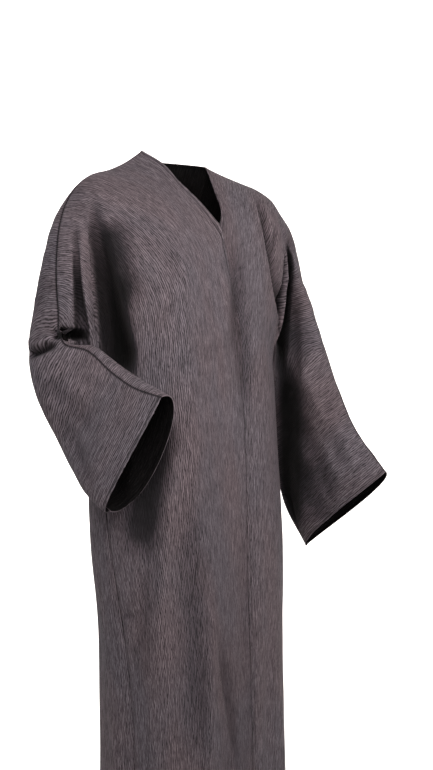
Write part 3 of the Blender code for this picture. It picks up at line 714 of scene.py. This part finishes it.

# %% [markdown]
# ## Smaller folds, placed by hand
#
# Real cloth also shows drag lines and shallow folds: from the shoulders towards the underarms,
# round the elbow, down the sleeves, and in long soft lines down the skirt. Each one is a line on
# an upright plane that faces a given heading, and it moves the cloth along its own normal, only
# where the cloth faces that way. No two are alike in length, depth or spacing.
#
# Little light reaches the bottom of a real fold. A fold therefore also gives a painted shade, which
# the material darkens the colour by, and a shallow fold can be given more painted shade than its
# depth would.

# %% Table of the small folds
# A fold's line runs from (across0, z0) to (across1, z1). side_a and side_b are its half widths to
# the left and to the right of a line that runs down. A depth below zero is a swell. part is the
# part of the piece that takes it, and dark its painted shade from 0 to 1, if that is not
# its depth's.
Fold = namedtuple("Fold", "name across0 z0 across1 z1 side_a side_b depth part dark",
                  defaults=["both", None])
PHOTO_SIDE = -30.0          # headings of the two planes, in degrees from the robe's front
BACK_SIDE = 150.0
FOLDS = {
    PHOTO_SIDE: [
        Fold("standing fold's left edge", -0.203, -0.150, -0.193, -0.330, 0.014, 0.007, 0.006),
        Fold("shade on the standing fold", -0.176, -0.120, -0.160, -0.400, 0.020, 0.018, 0.004),
        Fold("elbow crease", -0.240, -0.386, -0.312, -0.412, 0.010, 0.016, 0.020),
        Fold("pocket at the elbow", -0.246, -0.371, -0.186, -0.372, 0.011, 0.020, 0.034),
        Fold("roll above the crease", -0.250, -0.368, -0.296, -0.385, 0.018, 0.022, -0.006),
        Fold("drag to the elbow", -0.262, -0.250, -0.288, -0.330, 0.020, 0.026, 0.003),
        Fold("forearm fold", -0.270, -0.455, -0.160, -0.555, 0.022, 0.034, 0.004),
        Fold("forearm fold low", -0.235, -0.520, -0.165, -0.655, 0.018, 0.030, 0.004),
        Fold("forearm swell", -0.240, -0.470, -0.120, -0.505, 0.030, 0.026, -0.003),
        # The next two are painted shade with hardly any depth, on the chest's side of the hollow
        Fold("shaded side of the chest", -0.146, -0.150, -0.112, -0.310, 0.020, 0.066, 0.002,
             "both", 0.64),
        Fold("shaded side of the hollow", -0.119, -0.262, -0.096, -0.438, 0.020, 0.030, 0.002,
             "both", 0.60),
        Fold("chest drag", -0.120, -0.130, 0.020, -0.240, 0.050, 0.050, 0.002),
        Fold("press-stud pucker", 0.117, -0.236, 0.133, -0.228, 0.005, 0.007, 0.005),
        Fold("press-stud drag", 0.128, -0.226, 0.160, -0.190, 0.008, 0.010, 0.0015),
        Fold("below the stud", 0.118, -0.262, 0.100, -0.420, 0.016, 0.022, 0.003),
        Fold("body drape over the armpit", 0.158, -0.085, 0.204, -0.320, 0.005, 0.018, 0.020),
        Fold("body drape low", 0.205, -0.270, 0.205, -0.390, 0.006, 0.014, 0.008),
        Fold("small inner fold", 0.198, -0.135, 0.190, -0.215, 0.006, 0.008, 0.008),
        Fold("slit beside the sleeve", 0.228, -0.160, 0.206, -0.430, 0.013, 0.015, 0.026),
        Fold("left sleeve long fold", 0.245, -0.530, 0.315, -0.700, 0.028, 0.028, 0.006),
        Fold("left sleeve hem fold", 0.300, -0.470, 0.330, -0.650, 0.020, 0.026, 0.004),
        Fold("roll beside the slit", 0.250, -0.260, 0.262, -0.500, 0.018, 0.050, -0.012),
        # The next two are painted shade on the sleeve beside the body, over a shallow hollow
        Fold("hollow and painted shade beside the body", 0.214, -0.440, 0.218, -0.780, 0.020, 0.066, 0.012,
             "sleeve", 0.72),
        Fold("dark beside the body", 0.214, -0.440, 0.216, -0.800, 0.018, 0.038, 0.004,
             "sleeve", 1.0),
        Fold("hollow in the sleeve", 0.250, -0.620, 0.285, -0.760, 0.030, 0.060, 0.008),
        Fold("left sleeve swell", 0.246, -0.430, 0.340, -0.600, 0.030, 0.030, -0.008),
        # Painted shadow of the cuff on the skirt, over a shallow hollow
        Fold("hollow and painted shadow beside the cuff", -0.032, -0.540, -0.084, -0.790, 0.056, 0.052, 0.010,
             "body", 0.74),
        Fold("skirt swell right", -0.012, -0.640, -0.042, -0.980, 0.022, 0.020, -0.009),
        Fold("skirt hollow middle", 0.024, -0.700, 0.038, -1.180, 0.046, 0.040, 0.006),
        Fold("skirt swell middle", 0.068, -0.900, 0.060, -1.220, 0.018, 0.014, -0.008),
        Fold("skirt swell left", 0.155, -0.800, 0.150, -1.350, 0.028, 0.026, -0.005),
        Fold("hollow at the lap", 0.104, -0.175, 0.136, -0.520, 0.026, 0.030, 0.008),
        Fold("skirt dimple", -0.112, -0.916, -0.080, -0.922, 0.005, 0.008, 0.006),
        Fold("skirt crease right", -0.050, -0.640, -0.078, -1.050, 0.020, 0.030, 0.004),
        Fold("skirt crease middle", 0.078, -0.970, 0.112, -1.230, 0.008, 0.024, 0.006),
        Fold("skirt crease left", 0.130, -0.700, 0.142, -1.420, 0.024, 0.020, 0.003),
    ],
    BACK_SIDE: [
        Fold("back shoulder drag right", 0.150, -0.090, 0.060, -0.300, 0.030, 0.040, 0.006),
        Fold("back shoulder drag left", -0.150, -0.110, -0.070, -0.330, 0.028, 0.044, 0.005),
        Fold("back fold middle", -0.020, -0.420, -0.045, -1.400, 0.026, 0.034, 0.006),
        Fold("back fold right", 0.085, -0.500, 0.120, -1.300, 0.022, 0.030, 0.005),
        Fold("back fold left", -0.110, -0.560, -0.130, -1.420, 0.022, 0.030, 0.005),
        Fold("back sleeve fold", -0.235, -0.300, -0.300, -0.640, 0.022, 0.026, 0.005),
    ],
}
for heading_of_plane, folds in FOLDS.items():
    deepest = max(folds, key=lambda fold: fold.depth)
    print(len(folds), "folds at", heading_of_plane, "degrees, and the deepest is the", deepest.name)

# %% Relief of the small folds
# Painted shade: the deeper a fold, the darker its colour, darkest at DARK_FOLD
DARK_FOLD = 0.030           # fold depth at which the cloth is at its darkest
FOLD_OVERRUN = 0.12         # how far a fold goes past its line's ends, as a share of the line,
FOLD_TAPER = 0.35           # and the share over which it runs out
FOLD_FACING = 0.3           # how squarely the cloth has to face the plane for a fold's full depth


def grid_normals(points):
    """Outward normals of a grid, whose columns go outward and rows down."""
    along = np.gradient(points, axis=0)
    down = np.gradient(points, axis=1)
    normals = np.cross(down, along)
    return normals / np.maximum(np.linalg.norm(normals, axis=-1), 1e-9)[..., None]


def fold_relief(points, normals, part):
    """Height and painted shade that the small folds give a part at each point."""
    height, shade = np.zeros(points.shape[:2]), np.zeros(points.shape[:2])
    for plane, folds in FOLDS.items():
        turn = math.radians(plane)
        across = points[..., 0] * math.cos(turn) + points[..., 1] * math.sin(turn)
        facing = normals[..., 0] * math.sin(turn) - normals[..., 1] * math.cos(turn)
        for fold in [fold for fold in folds if fold.part in (part, "both")]:
            start = np.array([fold.across0, fold.z0])
            way = np.array([fold.across1, fold.z1]) - start
            length = np.linalg.norm(way)
            way = way / length
            offset = np.stack([across, points[..., 2]], axis=-1) - start
            along = offset @ way / length
            beside = offset[..., 0] * way[1] - offset[..., 1] * way[0]
            half = np.where(beside > 0, fold.side_a, fold.side_b)
            taper = ease((np.minimum(along, 1 - along) + FOLD_OVERRUN) / FOLD_TAPER)
            pressed = bump(beside / half) * taper * ease(facing / FOLD_FACING)
            # painted shade at the bottom of the fold
            dark = max(fold.depth, 0) / DARK_FOLD if fold.dark is None else fold.dark
            height = height - fold.depth * pressed
            shade = shade + dark * pressed
    return height, shade


grid = halves[RIGHT, FRONT][0]
relief = fold_relief(grid.points, grid_normals(grid.points) * RIGHT * FRONT, "body")[0] * 1000
print("folds on the body of the right front, mm:", round(relief.min(), 1), "to", round(relief.max(), 1))

# %% [markdown]
# ## Crinkle in the cloth
#
# Crinkle crepe is woven with hard-twisted threads that shrink, so the cloth is covered with short
# ridges along the warp. The larger of them are real relief here, from noise stretched along the
# thread lines, and the finest are left to the material. Relief fades out at seams and hems,
# which are pressed flat.

# %% Crinkle relief
# Ridges of three sizes, in metres across and along the warp; seed makes each set its own
Band = namedtuple("Band", "wide long height seed")
BANDS = [Band(0.012, 0.085, 0.0007, 3.1), Band(0.026, 0.16, 0.0012, 17.3),
         Band(0.075, 0.30, 0.0022, 41.9)]


def crinkle(grid, offset):
    """Height of the crinkle at each point of a grid."""
    height = np.zeros(grid.v.shape)
    for band in BANDS:
        for i, u in enumerate(grid.u):
            for j, v in enumerate(grid.v[i]):
                at = Vector(((u + offset) / band.wide, v / band.long, band.seed))
                height[i, j] += band.height * noise.noise(at)
    return height


print("crinkle at most, mm:", round(sum(band.height for band in BANDS) * 1000, 1))

# %% [markdown]
# ## Seams and stitched hems
#
# A seam is a narrow groove, because the turned edges behind it pull the cloth in. A hem is turned
# over twice and stitched, so it is a flat band with a fine line of stitches at its inner edge. The
# grooves of the seams and the stitch lines are also darkened with painted shade.

# %% Seams and hems
PRESSED_FLAT = 0.012        # width beside a seam or a hem in which the crinkle grows
FOLD_FREE = 0.014           # and width beside a seam in which the folds grow
SEAM_GROOVE = 0.0022        # how far a seam lies below the cloth beside it,
SEAM_WIDTH = 0.004          # and how far from the seam the groove reaches
STITCH_GROOVE = 0.0004      # how far the stitching pulls a hem in,
STITCH_WIDTH = 0.0014       # and how far from the stitches
# Painted shade: troughs by their depth, seam grooves and hem stitch lines are darkened in colour
DARK_TROUGH = 0.085         # trough depth at which the cloth is at its darkest
OVERARM_SHADE = 0.9         # how dark the groove of the overarm seam is,
SIDE_SHADE = 0.25           # and that of the underarm and side seams,
SEAM_SHADE_WIDTH = 0.0035   # and how wide it is on each side
HEM_SHADE = 0.42            # how dark the line of stitches along a hem is,
STITCH_SHADE_WIDTH = 0.0018  # and how wide on each side


def shape_grids(grids, offset, sides, facing, parts):
    """Adds folds, crinkle, seam grooves, stitched hems and painted shade to a piece's grids."""
    normals = [grid_normals(grid.points) * side * facing for grid, side in zip(grids, sides)]
    shaped = []
    for grid, normal, side, part in zip(grids, normals, sides, parts):
        flat = ease(grid.seam / PRESSED_FLAT) * ease(grid.edge / PRESSED_FLAT)
        height = crinkle(grid._replace(u=side * grid.u), offset) * flat
        folded, fold_shade = fold_relief(grid.points, normal, part)
        height = height + folded * ease(grid.seam / FOLD_FREE)
        height = height - SEAM_GROOVE * np.clip(1 - grid.seam / SEAM_WIDTH, 0, 1)**2
        height = height - STITCH_GROOVE * bump((grid.edge - HEM_WIDTH) / STITCH_WIDTH)
        # Painted shade of each point, from 0 to 1, which the material darkens the colour by
        shade = grid.depth / DARK_TROUGH + fold_shade
        seam_shade = np.where(np.isclose(grid.seam, grid.v), OVERARM_SHADE, SIDE_SHADE)
        seam_near = np.clip(1 - grid.seam / SEAM_SHADE_WIDTH, 0, 1)
        stitch_near = bump((grid.edge - HEM_WIDTH) / STITCH_SHADE_WIDTH)
        shade = np.maximum(shade, np.maximum(seam_shade * seam_near, HEM_SHADE * stitch_near))
        shaped.append((grid._replace(depth=np.clip(shade, 0, 1)), normal, height))
    return shaped


def join_lines(shaped, a, at_a, b, at_b, rows):
    """Gives the shared line of two grids one normal and one height."""
    normal = shaped[a][1][at_a, :rows] + shaped[b][1][at_b, :rows]
    normal = normal / np.linalg.norm(normal, axis=-1)[:, None]
    height = 0.5 * (shaped[a][2][at_a, :rows] + shaped[b][2][at_b, :rows])
    shaped[a][1][at_a, :rows] = shaped[b][1][at_b, :rows] = normal
    shaped[a][2][at_a, :rows] = shaped[b][2][at_b, :rows] = height


print("seam groove, mm:", SEAM_GROOVE * 1000, "and hem stitching, mm:", STITCH_GROOVE * 1000)

# %% [markdown]
# ## Making a piece of cloth
#
# Each grid starts as a flat bmesh grid whose corners move to their worked-out places. Its UV map
# is the flat cloth in metres, across and along the warp, so the pattern of the cloth follows the
# grain. A Solidify modifier gives the crepe its thickness, and more at the turned hems.

# %% Cloth mesh
CLOTH = 0.0008              # thickness of the crepe
HEM_CLOTH = 0.0020          # thickness of a hem turned over twice
GRAIN_SLANT = {RIGHT: 0.13, LEFT: 0.04}  # how far the warp has moved sideways, far down
SLANT_LENGTH = 0.20         # way down the cloth over which it does so
SLANT_FREE = 0.13           # width beside the front edge or the back's middle without slant
SLANT_END = 0.36, 0.56      # ways from there between which the slant runs out again
WELD = 0.00005              # metres within which the shared points of two grids are joined
HEM_SLACK = 0.0005          # metres past a hem's inner edge that still count as hem


def grain_slant(grid, side):
    """Shift of the warp across the grid's lines, which turns it towards the shoulder."""
    first, last = SLANT_END
    free = ease(grid.u / SLANT_FREE) * (1 - ease((grid.u - first) / (last - first)))
    return GRAIN_SLANT[side] * free[:, None] * (1 - np.exp(-grid.v / SLANT_LENGTH))


def add_grid(bm, grid, points, hem_layer, uv_layer, offset, side):
    """Adds one grid of cloth to a mesh."""
    columns, rows = points.shape[:2]
    made = bmesh.ops.create_grid(bm, x_segments=columns - 1, y_segments=rows - 1, size=0.5)
    painted_shade_layer = bm.verts.layers.float["painted_shade"]
    slant = grain_slant(grid, side)
    flat = {}
    for vert in made["verts"]:
        i = round((vert.co.x + 0.5) * (columns - 1))
        j = round((0.5 - vert.co.y) * (rows - 1))
        flat[vert] = (side * (grid.u[i] + slant[i, j]) + offset, -grid.v[i, j])
        vert[painted_shade_layer] = grid.depth[i, j]
        vert.co = points[i, j]
        vert[hem_layer][0] = 1.0 if grid.edge[i, j] < HEM_WIDTH + HEM_SLACK else 0.0
    for face in {face for vert in made["verts"] for face in vert.link_faces}:
        for loop in face.loops:
            loop[uv_layer].uv = flat[loop.vert]


def cloth_piece(name, shaped, offset, sides, materials):
    """One piece of cloth from its shaped grids; materials are those of its two faces."""
    mesh = bpy.data.meshes.new(name)
    bm = bmesh.new()
    hem_layer = bm.verts.layers.deform.verify()
    uv_layer = bm.loops.layers.uv.new("Grain")
    bm.verts.layers.float.new("painted_shade")
    for (grid, normal, height), side in zip(shaped, sides):
        points = grid.points + normal * height[..., None]
        add_grid(bm, grid, points, hem_layer, uv_layer, offset, side)
    bmesh.ops.remove_doubles(bm, verts=bm.verts, dist=WELD)
    bmesh.ops.recalc_face_normals(bm, faces=bm.faces)
    area = sum(face.calc_area() for face in bm.faces)
    bm.to_mesh(mesh)
    bm.free()
    piece = bpy.data.objects.new(name, mesh)
    bpy.context.scene.collection.objects.link(piece)
    piece.vertex_groups.new(name="hem")
    for material in materials:
        mesh.materials.append(material)
    mesh.shade_smooth()
    wall = piece.modifiers.new("Cloth", "SOLIDIFY")
    wall.thickness = HEM_CLOTH
    wall.vertex_group = "hem"
    wall.thickness_vertex_group = CLOTH / HEM_CLOTH
    wall.offset = 0
    wall.material_offset = 1
    print(name, "faces:", len(mesh.polygons), "area:", round(area, 3), "m2")
    return piece


print("crepe, mm:", CLOTH * 1000, "and at a hem, mm:", HEM_CLOTH * 1000)

# %% [markdown]
# ## Colours and nodes
#
# Colours are read as sRGB hex values and turned to linear ones, which the shader works in. One
# small function adds a node with its settings and links.

# %% Material helpers
def linear(hex_colour):
    """Linear colour of an sRGB hex value."""
    parts = [int(hex_colour[i:i + 2], 16) / 255 for i in (1, 3, 5)]
    return [c / 12.92 if c <= 0.04045 else ((c + 0.055) / 1.055)**2.4 for c in parts] + [1.0]


def add(tree, kind, settings=None, stops=None, **links):
    """Adds a node. settings are its own or its sockets' values, stops the (position, hex colour)
    pairs of a ramp, and links what its inputs come from."""
    node = tree.nodes.new(kind)
    for key, value in (settings or {}).items():
        if hasattr(node, key) and not key[0].isupper():
            setattr(node, key, value)
        else:
            node.inputs[key].default_value = value
    if stops:
        elements = node.color_ramp.elements
        for element, (position, colour) in zip(elements, (stops[0], stops[-1])):
            element.position, element.color = position, linear(colour)
        for position, colour in stops[1:-1]:
            elements.new(position).color = linear(colour)
    for key, socket in links.items():
        tree.links.new(socket, node.inputs[key.replace("_", " ")])
    return node


print("charcoal #4c4649 in linear light:", [round(c, 3) for c in linear("#4c4649")[:3]])

# %% [markdown]
# ## Crinkle crepe
#
# The cloth is matt polyester crepe in charcoal, woven with hard-twisted threads that pull it into
# ridges along the warp. On the real cloth they lie 2 to 3 mm apart. That is too fine to show in
# the picture, so they are drawn about 4 mm apart. Plain stripes would be the simple way, but real
# ridges bend, end and differ in width, so these are bands that noise distorts, laid along the
# cloth's own grain. Their valleys are painted darker, as shade, and their crests lighter, as light.
# The painted shade that the mesh holds darkens the bottoms of folds, seam grooves and stitch lines,
# and the fibre ends give a faint sheen.

# %% Sizes of the crepe's pattern
RIDGE_SPACING = 0.0039      # metres from ridge to ridge
RIDGE_BENDS = 21.0          # how quickly a ridge changes along the warp
BAND_PERIOD = math.tau / 20  # distance between bands in the band pattern's own units
THREAD_RELIEF = 0.6         # height of the threads, as a share of the ridges' height
Speckle = namedtuple("Speckle", "wide long detail distortion")
THREADS = Speckle(0.0026, 0.030, 1.0, 0.5)  # lengths of thread that show on the ridges, in metres
CLOUDS = Speckle(0.13, 0.26, 2.0, 0.0)      # slow changes of tint over the cloth
THREAD_TONES = [(0.38, "#c4c4c4"), (0.62, "#ffffff")]
CLOUD_TONES = [(0.35, "#f3f5fa"), (0.65, "#fdf5f6")]
# Painted shade: the colour darkens, a little cooler at half shade, as the mesh's shade goes to 1
PAINTED_SHADE_TONES = [(0.0, "#ffffff"), (0.25, "#c6c3c5"), (0.5, "#797a7c"), (1.0, "#1a1a1a")]
print("ridges on a front:", round(FRONT_WIDTH / RIDGE_SPACING))

# %% Crepe material
def crepe_material(name, tones, relief_depth, sheen, gloss):
    """Crinkle crepe whose ridges go through the given tones, from valley to crest."""
    material = bpy.data.materials.new(name)
    material.use_nodes = True
    tree = material.node_tree
    grain = add(tree, "ShaderNodeUVMap", {"uv_map": "Grain"}).outputs["UV"]
    place = add(tree, "ShaderNodeMapping", {"Scale": (BAND_PERIOD / RIDGE_SPACING, RIDGE_BENDS, 1)},
                Vector=grain)
    settings = {"wave_type": "BANDS", "bands_direction": "X", "wave_profile": "SIN", "Scale": 1.0,
                "Distortion": 5.4, "Detail": 2.0, "Detail Scale": 2.6, "Detail Roughness": 0.6}
    ridges = add(tree, "ShaderNodeTexWave", settings, Vector=place.outputs["Vector"]).outputs["Fac"]
    speckles = []
    for size in (THREADS, CLOUDS):
        place = add(tree, "ShaderNodeMapping", {"Scale": (1 / size.wide, 1 / size.long, 1)},
                    Vector=grain)
        settings = {"noise_dimensions": "2D", "Scale": 1.0, "Detail": size.detail,
                    "Roughness": 0.5, "Distortion": size.distortion}
        noises = add(tree, "ShaderNodeTexNoise", settings, Vector=place.outputs["Vector"])
        speckles.append(noises.outputs["Fac"])
    threads, clouds = speckles
    # The painted shade that the mesh holds
    depth = add(tree, "ShaderNodeAttribute", {"attribute_name": "painted_shade"}).outputs["Fac"]

    # The ridges' tones paint shade in the valleys and light on the crests
    stops = list(zip((0.0, 0.35, 1.0), tones))
    colour = add(tree, "ShaderNodeValToRGB", stops=stops, Fac=ridges).outputs["Color"]
    for factor, stops in ((threads, THREAD_TONES), (clouds, CLOUD_TONES), (depth, PAINTED_SHADE_TONES)):
        layer = add(tree, "ShaderNodeValToRGB", stops=stops, Fac=factor)
        product = add(tree, "ShaderNodeMix", {"data_type": "RGBA", "blend_type": "MULTIPLY"})
        share, below, above = product.inputs[0], product.inputs[6], product.inputs[7]
        share.default_value = 1.0
        tree.links.new(colour, below)
        tree.links.new(layer.outputs["Color"], above)
        colour = product.outputs[2]

    height = add(tree, "ShaderNodeMath", {"operation": "MULTIPLY_ADD"})
    factor, share, ground = height.inputs
    tree.links.new(threads, factor)
    share.default_value = THREAD_RELIEF
    tree.links.new(ridges, ground)
    relief = add(tree, "ShaderNodeBump", {"Strength": 1.0, "Distance": relief_depth},
                 Height=height.outputs["Value"])

    shader = tree.nodes["Principled BSDF"]
    tree.links.new(colour, shader.inputs["Base Color"])
    tree.links.new(relief.outputs["Normal"], shader.inputs["Normal"])
    values = {"Roughness": 0.88, "IOR": 1.46, "Specular IOR Level": gloss, "Sheen Weight": sheen,
              "Sheen Roughness": 0.5, "Sheen Tint": linear("#b9aeb2")}
    for socket, value in values.items():
        shader.inputs[socket].default_value = value
    print(name, "nodes:", len(tree.nodes))
    return material


# Valley, middle and crest tones: painted shade in the valleys, painted light on the crests
crepe = crepe_material("Polyester crinkle crepe, woven", ("#292527", "#4c4649", "#5f575b"),
                       0.00032, 0.04, 0.15)
# Inside the robe there is hardly any light, so the wrong side is painted nearly black, as shade
shaded_wrong_side = crepe_material("Polyester crinkle crepe, wrong side in painted shade",
                            ("#070606", "#0b0a0a", "#0f0e0e"), 0.0006, 0.0, 0.05)

# %% [markdown]
# ## The two fronts
#
# Each front is one flat piece with the front half of its sleeve. The right one lies on top, so it
# is the one whose edge is seen from the neck down.

# %% Fronts
ROLL_PLACES = {"front_right": 0.0, "front_left": 3.7, "back": 7.1}  # of each cut on the roll
pieces = {}
for side, name in ((RIGHT, "front_right"), (LEFT, "front_left")):
    offset = ROLL_PLACES[name]
    grids = halves[side, FRONT]
    shaped = shape_grids(grids, offset, [side, side], FRONT, ["body", "sleeve"])
    join_lines(shaped, 0, -1, 1, 0, UPPER_ROWS[FRONT])
    pieces[name] = cloth_piece(name + "_cloth", shaped, offset, [side, side], (crepe, shaded_wrong_side))

# %% [markdown]
# ## The back
#
# The back is one piece from cuff to cuff, with no seam down its middle. It has five grids, and
# where two of them meet they share one line of points.

# %% Back
grids = halves[RIGHT, BACK] + [back_middle] + halves[LEFT, BACK]
sides = [RIGHT, RIGHT, LEFT, LEFT, LEFT]
parts = ["body", "sleeve", "body", "body", "sleeve"]
shaped = shape_grids(grids, ROLL_PLACES["back"], sides, BACK, parts)
rows = UPPER_ROWS[BACK]
join_lines(shaped, 0, -1, 1, 0, rows)
join_lines(shaped, 3, -1, 4, 0, rows)
join_lines(shaped, 0, 0, 2, 0, None)
join_lines(shaped, 3, 0, 2, -1, None)
pieces["back"] = cloth_piece("back_cloth", shaped, ROLL_PLACES["back"], sides, (crepe, shaded_wrong_side))

# %% [markdown]
# ## Attaching the pieces
#
# Each piece rides on the robe's one body and stands for its solid, which is hidden.

# %% Attach
for name, piece in pieces.items():
    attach(piece, "root")
    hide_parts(name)

# %% [markdown]
# ## Floor
#
# A studio has a pale sheet that curves up behind the object. Here the floor is a wide dish whose
# rim curves up all round, so no edge shows behind the robe from any side.

# %% Floor
FLOOR_Z = -1.445            # a little below the hem
FLOOR_RADIUS = 5.5
RIM_BEND = 1.5              # radius of the curve between floor and rim
RIM_TOP = 7.0


def pale_floor():
    """A dish spun from half its outline."""
    mesh = bpy.data.meshes.new("floor")
    bm = bmesh.new()
    profile = [(0, 0), (FLOOR_RADIUS, 0)]
    for turn in range(10, 91, 10):
        turn = math.radians(turn)
        profile.append((FLOOR_RADIUS + RIM_BEND * math.sin(turn), RIM_BEND * (1 - math.cos(turn))))
    profile.append((FLOOR_RADIUS + RIM_BEND, RIM_TOP))
    verts = [bm.verts.new((x, 0, FLOOR_Z + z)) for x, z in profile]
    edges = [bm.edges.new(pair) for pair in zip(verts, verts[1:])]
    bmesh.ops.spin(bm, geom=verts + edges, cent=(0, 0, 0), axis=(0, 0, 1), angle=math.tau,
                   steps=72, use_merge=True)
    bmesh.ops.remove_doubles(bm, verts=bm.verts, dist=0.0001)
    bmesh.ops.recalc_face_normals(bm, faces=bm.faces)
    if sum(face.normal.z for face in bm.faces if face.calc_center_median().z < FLOOR_Z + 0.1) < 0:
        bmesh.ops.reverse_faces(bm, faces=bm.faces)
    bm.to_mesh(mesh)
    bm.free()
    mesh.shade_smooth()
    floor = bpy.data.objects.new("floor", mesh)
    bpy.context.scene.collection.objects.link(floor)
    material = bpy.data.materials.new("Painted studio floor, rolled")
    material.use_nodes = True
    shader = material.node_tree.nodes["Principled BSDF"]
    shader.inputs["Base Color"].default_value = linear("#f4f3f2")
    shader.inputs["Roughness"].default_value = 0.9
    mesh.materials.append(material)
    return floor


floor = pale_floor()
print("floor faces:", len(floor.data.polygons))

# %% [markdown]
# ## Lights
#
# The robe is lit as in a pale studio. One large soft lamp stands just above the camera, so the
# front is even and only folds are dark. Two lamps from the right of the picture, one high and one
# low, brighten the left shoulder and sleeve, and a weak, cool one from the left does the same for
# the right arm. Lamps behind light the back of the robe and the rim of the floor.

# %% Lights
AZIMUTH = -30               # heading of the camera, in degrees from the robe's front
LIT_PLACE = Vector((0, -0.05, -0.20))
RIM_RIGHT, RIM_LEFT = Vector((2.4, 6.8, -0.6)), Vector((4.2, 5.4, -0.6))


def lamp(name, turn, lift, distance, size, watts, colour="#fffbf9", aim=LIT_PLACE):
    """A soft round lamp, turned and lifted in degrees from the camera's own heading."""
    heading_of_lamp, lift = math.radians(AZIMUTH + turn), math.radians(lift)
    away = Vector((math.sin(heading_of_lamp) * math.cos(lift),
                   -math.cos(heading_of_lamp) * math.cos(lift), math.sin(lift)))
    light = bpy.data.lights.new(name, "AREA")
    light.shape = "DISK"
    light.size = size
    light.energy = watts
    light.color = linear(colour)[:3]
    place = LIT_PLACE + away * distance
    turned = (aim - place).to_track_quat("-Z", "Y").to_matrix().to_4x4()
    lamp_object = bpy.data.objects.new(name, light)
    lamp_object.matrix_world = Matrix.Translation(place) @ turned
    lamp_object.visible_camera = False
    bpy.context.scene.collection.objects.link(lamp_object)


lamp("key lamp", -4, 18, 1.35, 1.1, 28)
lamp("high right lamp", 75, 45, 1.5, 0.7, 6)
lamp("low right lamp", 55, 8, 1.4, 0.9, 22)
lamp("left lamp", -60, 28, 2.0, 0.7, 10, "#d6eaf8")
lamp("back lamp", 190, 35, 4.0, 1.6, 70)
lamp("backdrop lamp right", 150, 22, 5.0, 2.0, 240, aim=RIM_RIGHT)
lamp("backdrop lamp left", 215, 22, 5.0, 2.0, 240, aim=RIM_LEFT)
world = bpy.data.worlds.new("studio")
world.use_nodes = True
world.node_tree.nodes["Background"].inputs["Color"].default_value = linear("#f4f4f6")
world.node_tree.nodes["Background"].inputs["Strength"].default_value = 0.10
bpy.context.scene.world = world
bpy.context.scene.view_settings.view_transform = "Standard"
print("lamps:", len(bpy.data.lights))

# %% [markdown]
# ## Camera
#
# The camera stands 30 degrees to the robe's own right, level with the elbows, as in the
# reference picture. Its lens follows from its distance and from how many metres a pixel covers there. The
# hem lies below the picture, though the robe is whole.

# %% Camera
DISTANCE = 3.3
METRES_A_PIXEL = 0.00205
IMAGE_HEIGHT = 770
SENSOR = 36                 # millimetres
CENTRE_ACROSS, CENTRE_Z = 0.0728, -0.467  # what the middle of the picture looks at
turn = math.radians(AZIMUTH)
right = Vector((math.cos(turn), math.sin(turn), 0))
view = Vector((-math.sin(turn), math.cos(turn), 0))
lens = bpy.data.cameras.new("camera")
lens.sensor_width = SENSOR
lens.lens = SENSOR * DISTANCE / (IMAGE_HEIGHT * METRES_A_PIXEL)
camera = bpy.data.objects.new("camera", lens)
place = Matrix.Translation(right * CENTRE_ACROSS - view * DISTANCE + Vector((0, 0, CENTRE_Z)))
camera.matrix_world = place @ Matrix((right, Vector((0, 0, 1)), -view)).transposed().to_4x4()
bpy.context.scene.collection.objects.link(camera)
bpy.context.scene.camera = camera
print("camera at", [round(c, 3) for c in camera.matrix_world.translation])
